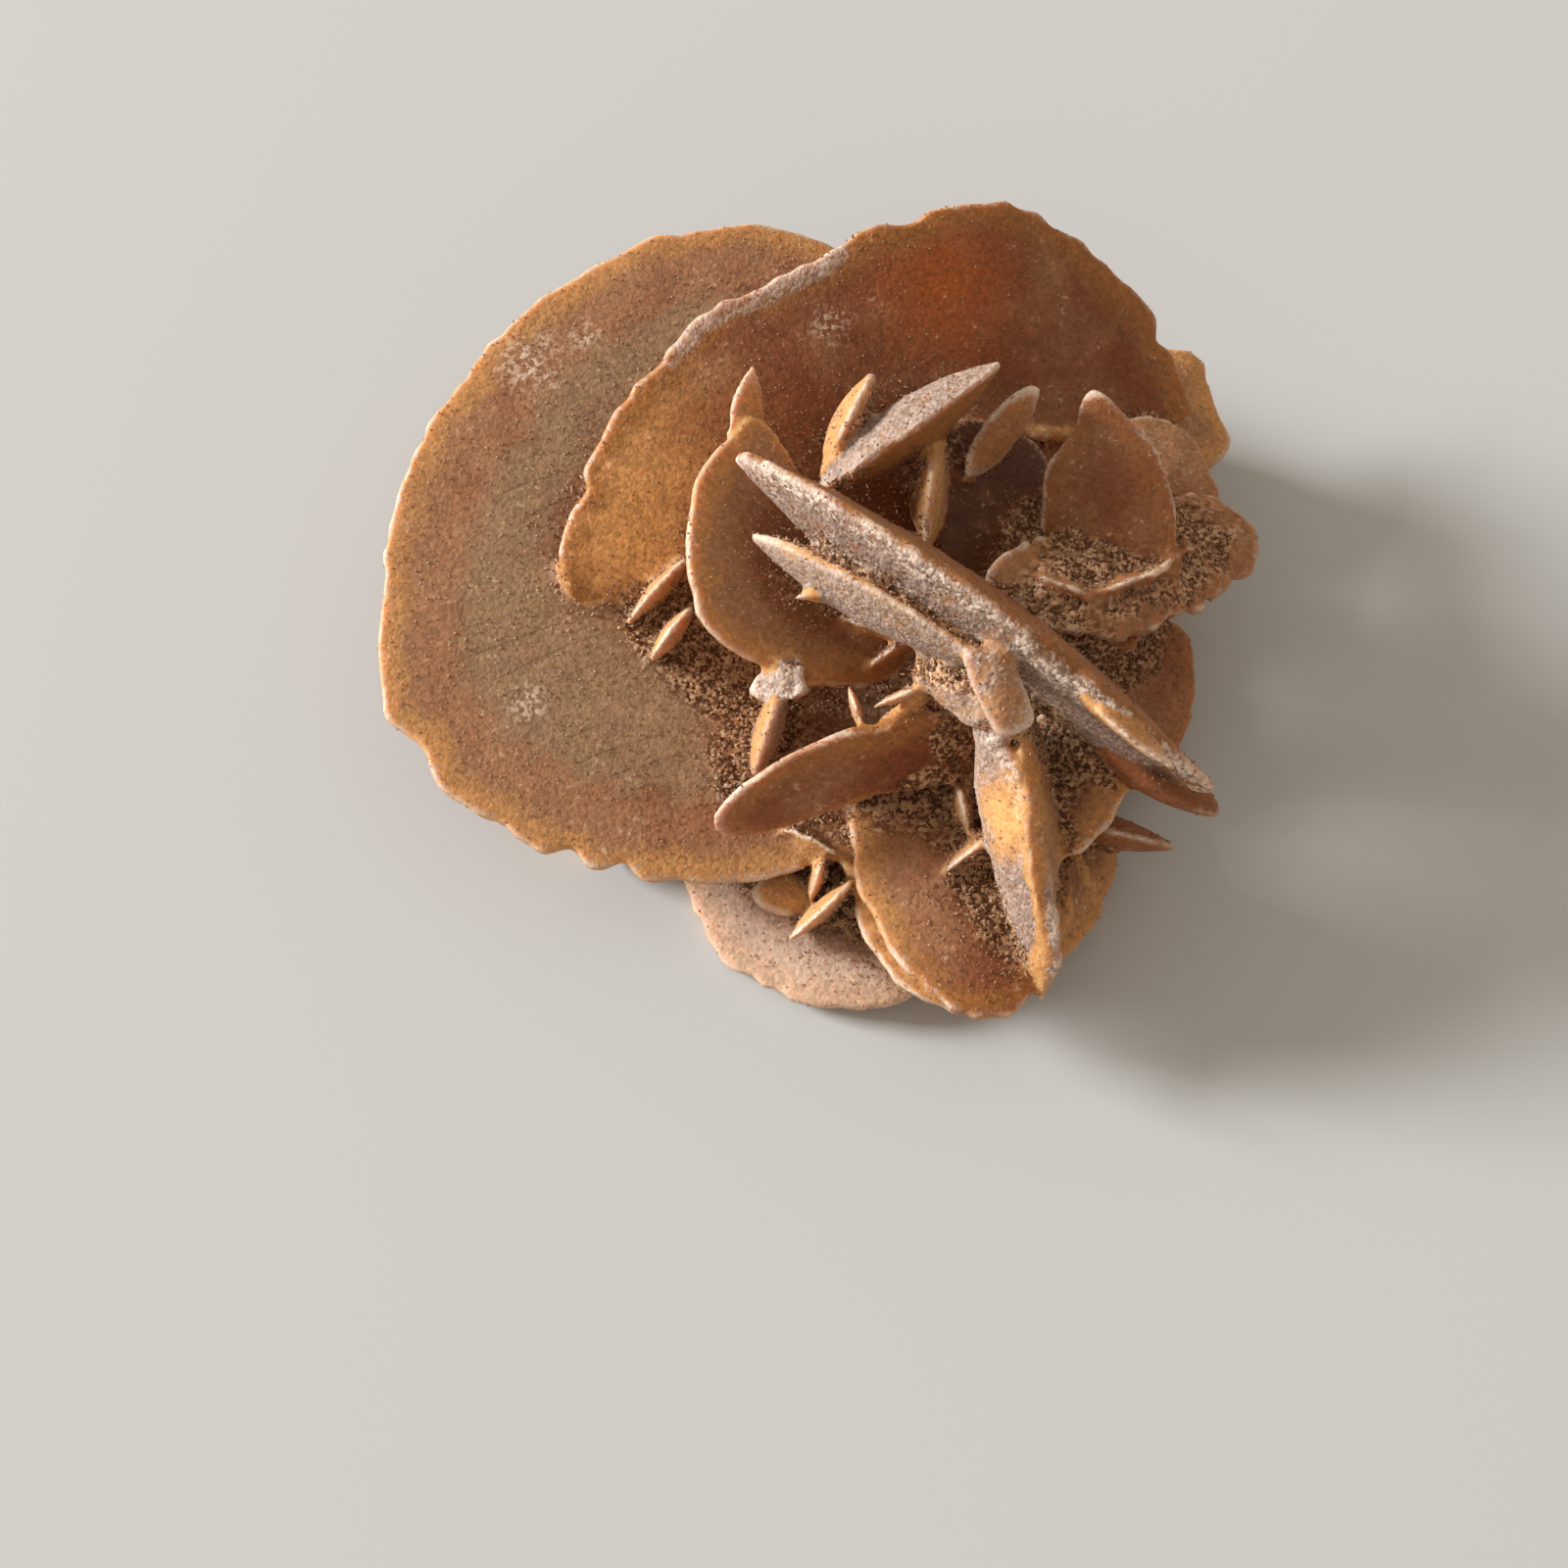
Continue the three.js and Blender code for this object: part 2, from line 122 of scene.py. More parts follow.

# The fan of plates on the right-hand side
# Their dark tones and faint honey rims are partly painted shade, for the fan lies in the shade of
# the tall blades
fan = [
    dict(at=(21, 22, 22), up=(0.5, -0.25, 0.83), size=(9, 9), thick=3, lip=1, tone=-1.05,
         honey=0.1),
    dict(at=(33.4, 19, 24), up=(-0.2, -0.5, 0.84), turn=6, size=(6.5, 13), thick=3, lip=1,
         corner=1.7, tone=-0.4, honey=0.5,
         rim=(1, 1, 0.95, 1.02, 0.95, 1, 1.1, 1.1, 1, 1, 1, 1)),
    dict(at=(24, 10.5, 23.4), up=(0.45, -0.35, 0.82), size=(4.5, 5), thick=2, lip=0.8,
         tone=-0.2, honey=0.3, crust=0.3),
    dict(at=(36, 14.8, 21.5), up=(0.2, 0.1, 0.97), turn=28, size=(14.5, 7), thick=4, lip=1.6,
         corner=2.4, tone=-0.25, honey=0.3, crust=0.9),
    dict(at=(39.5, 26, 16), up=(0.25, 0, 0.97), size=(7.5, 10), thick=3.5, lip=1.4, tone=-0.2,
         honey=0.4, crust=0.3),
    dict(at=(41, 39.5, 12), up=(0.2, -0.1, 0.97), turn=15, size=(7.5, 7.5), thick=3, lip=1.4,
         corner=3.5),
    dict(at=(35, 7, 9), up=(0.15, -0.35, 0.92), size=(9, 10), thick=5, lip=1.8, tone=-0.2,
         honey=0.4, crust=0.4),
    dict(at=(29, -6, 17.5), up=(-0.3, -0.3, 0.9), turn=-25, size=(6, 9.5), thick=2.5, lip=1),
    dict(at=(33, -8.8, 8), along=(0.97, -0.22, -0.1), size=(7.5, 4.5), thick=3.4, lip=0.8,
         corner=1.7, tone=-0.5, honey=0.4),
    dict(at=(28, -13.5, 7), up=(0.4, -0.1, 0.9), turn=-25, size=(6, 11.5), thick=4, lip=1.4),
    dict(at=(30, 15, 16.5), up=(0, -0.1, 1), size=(9.5, 9), thick=11, lip=3, tone=-0.2,
         honey=0.1, crust=1),
]

# Small blades and chips that stick out of the big ones
small_crystals = [
    dict(at=(6.6, 26.5, 30), along=(0.43, 0.88, 0.2), size=(5.8, 4.5), thick=3.4, lip=0.8,
         corner=1.4),
    dict(at=(14.6, 21, 27.5), along=(-0.05, -0.95, -0.32), size=(7.6, 5), thick=3.2, lip=0.8,
         corner=1.4),
    dict(at=(22, 26.5, 28), along=(0.63, 0.74, 0.25), facing=(-0.6, 0.3, 0.75),
         size=(5.8, 2), thick=2, lip=0.8, corner=1.7, tone=-0.3, honey=0.6),
    dict(at=(-3.8, 28.4, 28.2), along=(0.1, 0.94, 0.33), facing=(-0.7, 0, 0.7), size=(5, 2.2),
         thick=1.6, lip=0.6, corner=1.4, frost=(0.3, 0.8)),
    dict(at=(18.5, -1.6, 26.8), up=(-0.42, -0.5, 0.76), turn=-35, size=(6.5, 3.4), thick=6, lip=2,
         corner=2.5, tone=0.3, honey=0.2, frost=(0.6, 0.3), crust=0.7),
    dict(at=(20.3, -5, 33), along=(0.45, -0.85, -0.4), facing=(0.85, 0.4, 0.2), size=(4.2, 1.9),
         thick=1.8, lip=1.5, corner=5, honey=0.3, frost=(0.5, 0.5)),
    dict(at=(-1.5, -1, 16), along=(-0.28, -0.95, -0.1), size=(5.5, 5), thick=3, lip=1.2,
         corner=1.6, frost=(0.1, 0.7)),
    dict(at=(-0.6, 2, 20.5), up=(-0.5, -0.3, 0.8), size=(3, 1.5), thick=2.2, lip=1.2, corner=2.6,
         tone=1, honey=0, frost=(0.9, 0.9), crust=0.7),
    dict(at=(-13, 14, 17.5), along=(0.68, 0.62, 0.38), size=(4.6, 3.5), thick=2.2, lip=0.8,
         corner=1.4),
    dict(at=(-11.5, 9.3, 17), along=(0.62, 0.69, 0.4), size=(3.6, 3.4), thick=2.2, lip=0.8,
         corner=1.4),
    dict(at=(7.2, -0.8, 20), along=(0.3, -0.9, -0.3), size=(2.4, 2), thick=1.2, lip=0.6,
         corner=1.4),
    dict(at=(4, -17.2, 7.5), along=(0.7, 0.5, 0.46), size=(4.6, 3.2), thick=2, lip=0.7,
         corner=1.4),
    dict(at=(3.4, -14, 8), along=(0.3, 0.9, 0.1), size=(2.4, 2.6), thick=1.6, lip=0.7,
         corner=1.4),
    dict(at=(0, -15, 6), up=(0.2, -0.2, 0.95), size=(3.4, 2.2), thick=1.8, lip=0.8),
    dict(at=(19, -12.8, 13), along=(0.75, 0.5, 0.4), size=(3.8, 3.2), thick=1.8, lip=0.7,
         corner=1.4),
    dict(at=(18, -9, 14), along=(0.2, -0.95, 0.1), size=(2.4, 3), thick=1.4, lip=0.7,
         corner=1.4),
    dict(at=(13, -0.5, 21), along=(0.8, 0.45, 0.2), size=(3.4, 2.8), thick=1.8, lip=0.8,
         corner=1.4),
    dict(at=(3, 52, 26), up=(-0.2, -0.3, 0.93), turn=20, size=(3.6, 2.4), thick=3, lip=1.8,
         corner=3.5, tone=1, honey=0.3, frost=(0.3, 0.3)),
]

# Flakes and splinters in the sandy corners
flakes = [
    dict(at=(3.2, 7.4, 29.2), along=(-0.95, -0.2, -0.1), size=(1.9, 1.2), thick=0.9, lip=0.6,
         corner=1.5),
    dict(at=(8.8, 8, 20.4), along=(0.85, -0.35, 0.1), facing=(0, -0.3, 0.95), size=(3.2, 2),
         thick=1.2, lip=0.7, corner=1.5, tone=-0.3),
    dict(at=(11.4, 6, 19.8), along=(0.8, 0.5, 0), facing=(0, -0.3, 0.95), size=(2.8, 2),
         thick=1.1, lip=0.7, corner=1.5, tone=-0.3),
    dict(at=(12.2, -0.9, 24), along=(0.9, 0.35, 0.1), size=(3.4, 1.8), thick=1.2, lip=0.7,
         corner=1.4, honey=0.5, frost=(0.4, 0)),
    dict(at=(18.2, -6.6, 11.8), along=(0.15, 0.95, 0.1), facing=(0.2, 0, 1), size=(2.6, 2.4),
         thick=0.9, lip=0.7, corner=2),
    dict(at=(20.4, -13.4, 11.4), along=(0.95, 0.15, 0.1), facing=(0, 0, 1), size=(2.8, 2.2),
         thick=1, lip=0.7, corner=1.5),
    dict(at=(34, 11.2, 24), along=(0.9, 0.35, 0), facing=(0, -0.4, 0.9), size=(4.2, 1.8),
         thick=1.4, lip=0.7, corner=1.4, tone=-0.3, honey=0.6),
    dict(at=(38.2, 13.8, 23), along=(0.8, 0.6, 0), facing=(0, -0.4, 0.9), size=(3.4, 1.7),
         thick=1.2, lip=0.7, corner=1.4, tone=-0.3, honey=0.6),
    dict(at=(27.6, 10.6, 24.6), along=(0.9, -0.4, 0), facing=(0, -0.3, 0.9), size=(3.2, 1.9),
         thick=1.3, lip=0.7, corner=1.4, tone=-0.2, honey=0.6),
    dict(at=(2.9, -11.2, 10.4), along=(0.85, -0.45, 0.1), facing=(0, 0, 1), size=(2.7, 1.6),
         thick=0.9, lip=0.6, corner=1.5),
    dict(at=(32.2, -7.9, 31.2), along=(0.76, -0.62, -0.2), facing=(-0.3, -0.6, 0.75),
         size=(6, 1.9), thick=1.8, lip=0.9, corner=1.6, frost=(0, 0)),
]

# What the rose stands on: level plates low down, and blades on edge that reach the table
underside = [
    dict(at=(-4, 16, 5.5), up=(-0.06, 0.05, 1), size=(24, 22), thick=6, lip=2),
    dict(at=(22, 14, 6), up=(0.1, 0.02, 1), size=(19, 20), thick=6, lip=2),
    dict(at=(-20, 18, 6), along=(0.97, 0.2, 0), facing=(0, 0, 1), size=(16, 9), thick=5, lip=1.4),
    dict(at=(2, 42, 7), along=(0.25, 0.96, 0), facing=(0, 0, 1), size=(14, 10), thick=5, lip=1.4),
    dict(at=(29, 36, 7), along=(0.75, 0.65, 0), facing=(0, 0, 1), size=(14, 10), thick=5,
         lip=1.4),
    dict(at=(27, -6, 4), along=(0.4, -0.92, 0), facing=(0, 0, 1), size=(12, 6), thick=5, lip=1.4),
    dict(at=(-12, 0, 4), along=(0.6, 0.75, 0), facing=(0, 0, 1), size=(13, 6), thick=5, lip=1.4),
    dict(at=(-20, 24, 8), up=(-0.45, 0.1, 0.88), size=(14, 17), thick=4, lip=1.4),
    dict(at=(8, 42, 13), up=(0.1, 0.3, 0.95), size=(20, 12), thick=4, lip=1.4),
    dict(at=(20, 40, 12), up=(0.15, 0.7, 0.7), size=(17, 12), thick=4, lip=1.4),
    dict(at=(-8, 40, 8), along=(-0.5, 0.85, 0), facing=(0, 0, 1), size=(9, 7), thick=3.4, lip=1),
    dict(at=(14, 47, 12), along=(0.9, 0.3, 0.1), facing=(0, -0.2, 1), size=(8, 7), thick=3,
         lip=1),
    dict(at=(30, 43, 9), up=(0.5, 0.4, 0.76), size=(9, 7), thick=3, lip=1),
    dict(at=(-24, 30, 5.5), along=(0.7, -0.7, 0), facing=(0, 0, 1), size=(8, 6), thick=3, lip=1),
    dict(at=(38, 22, 8), along=(0.95, 0.3, 0), facing=(0, 0, 1), size=(8, 7), thick=3.4, lip=1),
]

crystals = main_plates + main_blades + fan + small_crystals + underside + flakes


def unit(vector):
    vector = np.array(vector, float)
    return vector / np.linalg.norm(vector)


def crystal_axes(crystal):
    """The crystal's own axes: along it, across it and through it."""
    if "along" in crystal:
        along = unit(crystal["along"])
        facing = np.array(crystal.get("facing", FRONT_AND_UP), float)
        across = unit(facing - along * (facing @ along))
        return np.array([along, across, np.cross(along, across)])
    through = unit(crystal["up"])
    turn = math.radians(crystal.get("turn", 0))
    flat = Vector((math.cos(turn), math.sin(turn), 0))
    flat.rotate(Vector((0, 0, 1)).rotation_difference(Vector(through)))
    along = np.array(flat)
    return np.array([along, np.cross(through, along), through])


def smooth_ring(values, fraction):
    """A smooth closed curve through the values, read at a fraction of the way round."""
    values = np.asarray(values, np.float32)
    place = fraction * len(values)
    step = np.floor(place).astype(int)
    t = (place - step).astype(np.float32)
    before, here, after, beyond = (values[(step + k) % len(values)] for k in (-1, 0, 1, 2))
    slope_here = (after - before) / 2
    slope_after = (beyond - here) / 2
    rise = after - here
    return here + t * (slope_here + t * ((3 * rise - 2 * slope_here - slope_after)
                                         + t * (slope_here + slope_after - 2 * rise)))


WEAR_SEED = 100
BROAD_APART = 6
FINE_APART = 1.7
CHIPS_APART = 3.1
BROAD_WEAR = 0.95
FINE_WEAR = 0.55
UNCHIPPED = 0.88
CHIP_DEPTH = 11
FULL_WEAR_SIZE = 9


def worn_edge(index, size):
    """How far, in millimetres, wear and chips have eaten into the rim round one crystal."""
    draw = np.random.default_rng(WEAR_SEED + index)
    around = math.pi * (size[0] + size[1])
    broad = draw.uniform(0, 1, max(6, round(around / BROAD_APART)))
    fine = draw.uniform(0, 1, max(12, round(around / FINE_APART)))
    chips = draw.uniform(0, 1, max(8, round(around / CHIPS_APART)))
    deep = np.where(chips > UNCHIPPED, (chips - UNCHIPPED) * CHIP_DEPTH, 0)
    small = min(1.0, min(size) / FULL_WEAR_SIZE)
    return broad * BROAD_WEAR * small, fine * FINE_WEAR * small, deep * small


for index, crystal in enumerate(crystals):
    crystal["axes"] = crystal_axes(crystal)
    crystal["wear"] = worn_edge(index, crystal["size"])

# Wear thins a lip to this share, a blade's more than a plate's, and the wear comes off spare rim
BLADE_LIP = 0.45
PLATE_LIP = 0.65
SPARE_RIM = 0.4
EDGE_ROUNDING = 0.4


def lens_field(crystal, x, y, z):
    """Distance to the crystal's skin, and how far inside its rim each place lies, both in mm."""
    a, b = crystal["size"]
    corner = crystal.get("corner", 2)
    lip = crystal["lip"] * (BLADE_LIP if "along" in crystal else PLATE_LIP)
    ax = np.abs(x / a) ** (corner / 2)
    ay = np.abs(y / b) ** (corner / 2)
    fraction = (np.arctan2(np.copysign(ay, y), np.copysign(ax, x)) / (2 * math.pi)) % 1.0
    plain = (ax * ax + ay * ay) ** (1 / corner) + 1e-6
    slope = np.sqrt((ax ** (2 - 2 / corner) * ax ** (2 - 2 / corner)) / a ** 2
                    + (ay ** (2 - 2 / corner) * ay ** (2 - 2 / corner)) / b ** 2)
    slope = slope * plain ** (1 - corner) + 1e-5
    rim = smooth_ring(crystal["rim"], fraction) if "rim" in crystal else 1.0
    broad, fine, deep = crystal["wear"]
    eaten = smooth_ring(broad, fraction) + smooth_ring(fine, fraction)
    eaten = eaten + smooth_ring(deep, fraction)
    for degrees, width, depth in crystal.get("bites", ()):
        off = (fraction * 360 - degrees + 180) % 360 - 180
        eaten = eaten + depth * np.exp(-(np.radians(off) * (a + b) / 2 / width) ** 2)
    past_rim = (plain - rim) / slope + eaten - SPARE_RIM
    reach = np.clip(plain / rim, 0, 1.2)
    half = lip / 2 + (crystal["thick"] - lip) / 2 * np.clip(1 - reach * reach, 0, 1)
    past_face = np.abs(z - crystal.get("cup", 0) * reach * reach) - half
    rounding = EDGE_ROUNDING * lip
    gap = np.maximum(rounding - np.abs(past_rim - past_face), 0) / rounding
    distance = np.maximum(past_rim, past_face) + gap * gap * rounding * 0.25
    return distance, -past_rim


# The crystals are grown in a volume that keeps, at each place, the distance to the nearest crystal
# and to the next one, and whether sand has grown through the nearest
VOXEL = 0.34
REACH = 2.4
FAR_AWAY = 9.0
low = np.array([-45.5, -32.5, -1.5])
high = np.array([51, 61.5, 43])
counts = np.ceil((high - low) / VOXEL).astype(int)
ticks = [low[k] + VOXEL * np.arange(counts[k]) for k in range(3)]
nearest = np.full(counts, FAR_AWAY, np.float32)
second = np.full(counts, FAR_AWAY, np.float32)
rough = np.zeros(counts, np.float32)


def crystal_extent(crystal):
    """Half the size of the box round a crystal, along the world's axes."""
    a, b = crystal["size"]
    most = max(crystal.get("rim", (1,)))
    half = np.array([a * most, b * most, crystal["thick"] / 2 + crystal.get("cup", 0)])
    return np.abs(crystal["axes"].T) @ half + REACH


def add_crystal(crystal):
    """Grows one crystal into the volume."""
    at = np.array(crystal["at"], float)
    extent = crystal_extent(crystal)
    first = np.clip(np.floor((at - extent - low) / VOXEL).astype(int), 0, counts)
    last = np.clip(np.ceil((at + extent - low) / VOXEL).astype(int), 0, counts)
    window = tuple(slice(first[k], last[k]) for k in range(3))
    px, py, pz = (ticks[k][window[k]] - at[k] for k in range(3))
    axes = crystal["axes"].astype(np.float32)

    def local(axis):
        return ((px * axis[0])[:, None, None] + (py * axis[1])[None, :, None]
                + (pz * axis[2])[None, None, :]).astype(np.float32)

    through = local(axes[2])
    near = np.abs(through) < crystal["thick"] / 2 + crystal.get("cup", 0) + REACH
    distance, _ = lens_field(crystal, local(axes[0])[near], local(axes[1])[near], through[near])
    nearest_here = nearest[window]
    second_here = second[window]
    rough_here = rough[window]
    old = nearest_here[near]
    sandy = max(0, crystal.get("crust", 0))
    rough_here[near] = np.where(distance < old, sandy, rough_here[near])
    second_here[near] = np.minimum(second_here[near], np.maximum(old, distance))
    nearest_here[near] = np.minimum(old, distance)


for crystal in crystals:
    add_crystal(crystal)


def upsample_matrix(count, cell, draw_count):
    """Weights that spread a coarse row of values smoothly over a fine one."""
    place = np.arange(count) * VOXEL / cell
    step = np.floor(place).astype(int)
    t = place - step
    weights = np.zeros((count, draw_count), np.float32)
    rows = np.arange(count)
    weights[rows, step] = (1 - t) ** 3 / 6
    weights[rows, step + 1] = (3 * t ** 3 - 6 * t ** 2 + 4) / 6
    weights[rows, step + 2] = (-3 * t ** 3 + 3 * t ** 2 + 3 * t + 1) / 6
    weights[rows, step + 3] = t ** 3 / 6
    return weights


NOISE_GAIN = 1.7


def smooth_noise(cell, seed):
    """Soft lumps about as far apart as the cell, in mm, from -1 to 1, over the whole volume."""
    coarse = [int(counts[k] * VOXEL / cell) + 5 for k in range(3)]
    values = np.random.default_rng(seed).uniform(-1, 1, coarse).astype(np.float32)
    values *= NOISE_GAIN
    for k in range(3):
        weights = upsample_matrix(counts[k], cell, coarse[k])
        values = np.moveaxis(np.tensordot(weights, values, axes=(1, k)), 0, k)
    return values


def box_blur(values, steps):
    """The mean over a box that reaches this many voxels each way."""
    width = 2 * steps + 1
    for k in range(3):
        rows = np.moveaxis(values, k, 0)
        rows = np.concatenate([np.repeat(rows[:1], steps + 1, 0), rows,
                               np.repeat(rows[-1:], steps, 0)])
        sums = np.cumsum(rows, axis=0, dtype=np.float32)
        values = np.moveaxis((sums[width:] - sums[:-width]) / width, 0, k)
    return values


# Where crystals meet, sand has set hard in the corner, more in some places than in others
CREVICE = 2.4
lumps = smooth_noise(0.75, 1)
fillet = 1.5 + 0.8 * smooth_noise(4.0, 2)
gap = np.maximum(fillet - np.abs(nearest - second), 0) / fillet
crevice = np.clip(1 - (second - nearest) / CREVICE, 0, 1) * (second < FAR_AWAY - 1)
field = nearest - gap * gap * fillet * 0.25
field += crevice * (0.22 * lumps + 0.05) + 0.05 * lumps + 0.10 * smooth_noise(2.6, 3)
rough = box_blur(rough, 2)
field += rough * (0.38 * lumps + 0.55 * smooth_noise(1.5, 5) + 0.35 * smooth_noise(3.2, 6))
field += 0.12 * smooth_noise(9.0, 4)
above_table = ticks[2][None, None, :].astype(np.float32)
field = np.maximum(field, -above_table)
del lumps, fillet, gap, crevice

volume = openvdb.FloatGrid(background=1.0)
volume.copyFromArray(np.clip(field, -1, 1).astype(np.float32))
points, quads = volume.convertToQuads(isovalue=0.0)
solid = (field < 0).astype(np.float32)
del field


def largest_body(point_count, faces):
    """Which faces belong to the outer skin: the pockets sealed inside are filled in."""
    label = np.arange(point_count)
    while True:
        least = label[faces].min(axis=1)
        lower = label.copy()
        for corner in range(faces.shape[1]):
            np.minimum.at(lower, faces[:, corner], least)
        lower = lower[lower]
        if np.array_equal(lower, label):
            break
        label = lower
    face_label = label[faces[:, 0]]
    names, sizes = np.unique(face_label, return_counts=True)
    return face_label == names[sizes.argmax()]


quads = quads[largest_body(len(points), quads)]
used, quads = np.unique(quads, return_inverse=True)
quads = quads.reshape(-1, 4)
grown = low + points[used] * VOXEL


def to_metres(grown_points):
    """Where points of the grown volume lie on the rose, in metres from its middle."""
    placed = grown_points - np.array([*GROWN_MIDDLE, 0])
    return placed * GROWN_TO_METRES


def mesh_object(name, vertices, faces):
    mesh = bpy.data.meshes.new(name)
    mesh.vertices.add(len(vertices))
    mesh.vertices.foreach_set("co", vertices.astype(np.float32).ravel())
    mesh.loops.add(faces.size)
    mesh.loops.foreach_set("vertex_index", faces.astype(np.int32).ravel())
    mesh.polygons.add(len(faces))
    starts = np.arange(0, faces.size, faces.shape[1], dtype=np.int32)
    mesh.polygons.foreach_set("loop_start", starts)
    mesh.update(calc_edges=True)
    made = bpy.data.objects.new(name, mesh)
    bpy.context.collection.objects.link(made)
    return made


def make_plain(made):
    """Turns the object's modifiers into mesh."""
    depsgraph = bpy.context.evaluated_depsgraph_get()
    mesh = bpy.data.meshes.new_from_object(made.evaluated_get(depsgraph))
    made.modifiers.clear()
    made.data = mesh
    mesh.name = made.name


MOST_TRIANGLES = 190000
rose = mesh_object("rose", to_metres(grown), quads)
thin_out = rose.modifiers.new("thin_out", "DECIMATE")
thin_out.ratio = MOST_TRIANGLES / (2 * len(quads))
thin_out.use_collapse_triangulate = True
make_plain(rose)


def read_volume(values, places):
    """The values of a volume at places between its voxels."""
    spot = (places - low) / VOXEL
    step = np.clip(np.floor(spot).astype(int), 0, counts - 2)
    t = spot - step
    total = np.zeros(len(places))
    for corner in range(8):
        bits = np.array([corner >> 2 & 1, corner >> 1 & 1, corner & 1])
        share = np.prod(np.where(bits, t, 1 - t), axis=1)
        total += share * values[tuple((step + bits).T)]
    return total


def solid_round(places, reach):
    """The share of solid round each place: above a half in a hollow, below it on an edge."""
    steps = max(1, round(reach / VOXEL / 2))
    return read_volume(box_blur(box_blur(solid, steps), steps), places)


def keep_attribute(made, name, values):
    layer = made.data.attributes.new(name, "FLOAT", "POINT")
    layer.data.foreach_set("value", np.asarray(values, np.float32))


def smoothstep(start, end, value):
    """0 at the start, 1 at the end, and a soft step between them. End may be the lower one."""
    t = np.clip((value - start) / (end - start), 0, 1)
    return t * t * (3 - 2 * t)


vertices = np.empty(len(rose.data.vertices) * 3, np.float32)
rose.data.vertices.foreach_get("co", vertices)
places = vertices.reshape(-1, 3) / GROWN_TO_METRES + np.array([*GROWN_MIDDLE, 0])
normals = np.empty(len(places) * 3, np.float32)
rose.data.vertices.foreach_get("normal", normals)
normals = normals.reshape(-1, 3)


def spots(crystal, own, key, soft=0.0):
    """1 in the middle of each of the crystal's spots of this kind, falling to 0 round it."""
    most = np.zeros(len(own))
    for x, y, width in crystal.get(key, ()):
        away = np.hypot(own[:, 0] - x, own[:, 1] - y)
        most = np.maximum(most, smoothstep(width * (1 + soft), width * soft, away))
    return most


def crystal_tone(crystal, own):
    """How much paler, or darker below 0, each place is: partly the crystal's own colour and partly
    painted shade.
    """
    tone = np.full(len(own), float(crystal.get("tone", 0)))
    for x, y, width, change in crystal.get("blots", ()):
        tone += change * smoothstep(width, 0, np.hypot(own[:, 0] - x, own[:, 1] - y))
    return tone


def bevelled(crystal, own):
    """1 along the stretch of the rim that is worn to a frosted band, 0 elsewhere."""
    start, end = crystal.get("bevel", (0, 0))
    angle = np.degrees(np.arctan2(own[:, 1], own[:, 0])) % 360
    band = smoothstep(start, start + 12, angle) * smoothstep(end, end - 25, angle)
    return band * (end > start)


# Each place takes its colouring from the crystal that it belongs to, the one it is nearest to
TONE_SEED = 7
closest = np.full(len(places), 99.0)
marks = {}
tones = np.random.default_rng(TONE_SEED).uniform(-0.12, 0.12, len(crystals))
for index, crystal in enumerate(crystals):
    own = (places - np.array(crystal["at"])) @ crystal["axes"].T
    distance, inside = lens_field(crystal, own[:, 0], own[:, 1], own[:, 2])
    front = own[:, 2] > 0
    upper = own[:, 1] > 0
    front_frost, back_frost = crystal.get("frost", (0.1, 0.1))
    here = {
        "inside_rim": inside,
        "tone": crystal_tone(crystal, own) + tones[index],
        "frost": np.where(front, front_frost, back_frost),
        "veil": crystal.get("veil", 0) * smoothstep(6, 11, inside),
        "bevel": bevelled(crystal, own) * (normals @ crystal["axes"][2] > 0),
        "honey": np.full(len(places), crystal.get("honey", 1)),
        # The red and honey glow spots are painted light shining through thin gypsum
        "painted_red_glow": spots(crystal, own, "painted_red_glows"),
        "caked": crystal.get("crust", 0) + 1.6 * spots(crystal, own, "beds", 0.2),
        "scuff": spots(crystal, own, "scuffs", 0.35) * front,
        "painted_honey_glow": spots(crystal, own, "painted_honey_glows"),
        "ridge": crystal.get("ridge", 0) * smoothstep(2.4, 1.0, inside) * front * upper,
    }
    nearer = distance < closest
    closest[nearer] = distance[nearer]
    for name, values in here.items():
        marks.setdefault(name, np.zeros(len(places)))[nearer] = values[nearer]

for name, values in marks.items():
    keep_attribute(rose, name, values)

OUT_OF_THE_FACE = 3
HOLLOW_REACH = 6.5
EDGE_REACH = 1.7
sheltered = solid_round(places + OUT_OF_THE_FACE * normals, HOLLOW_REACH)
keep_attribute(rose, "hollow", sheltered)
keep_attribute(rose, "corner", solid_round(places, EDGE_REACH))
keep_attribute(rose, "lie", normals[:, 2])
rose.data.shade_smooth()


def join(tree, value, socket):
    """Links a value or a socket to the socket, or sets the number or colour on it."""
    if isinstance(value, Value):
        value = value.socket
    if isinstance(value, bpy.types.NodeSocket):
        tree.links.new(value, socket)
    else:
        socket.default_value = value


def add_node(tree, kind, settings, sockets):
    """A new node: its settings first, then the value or link of each socket."""
    made = tree.nodes.new(kind)
    for name, setting in settings.items():
        setattr(made, name, setting)
    for name, value in sockets.items():
        join(tree, value, made.inputs[name])
    return made


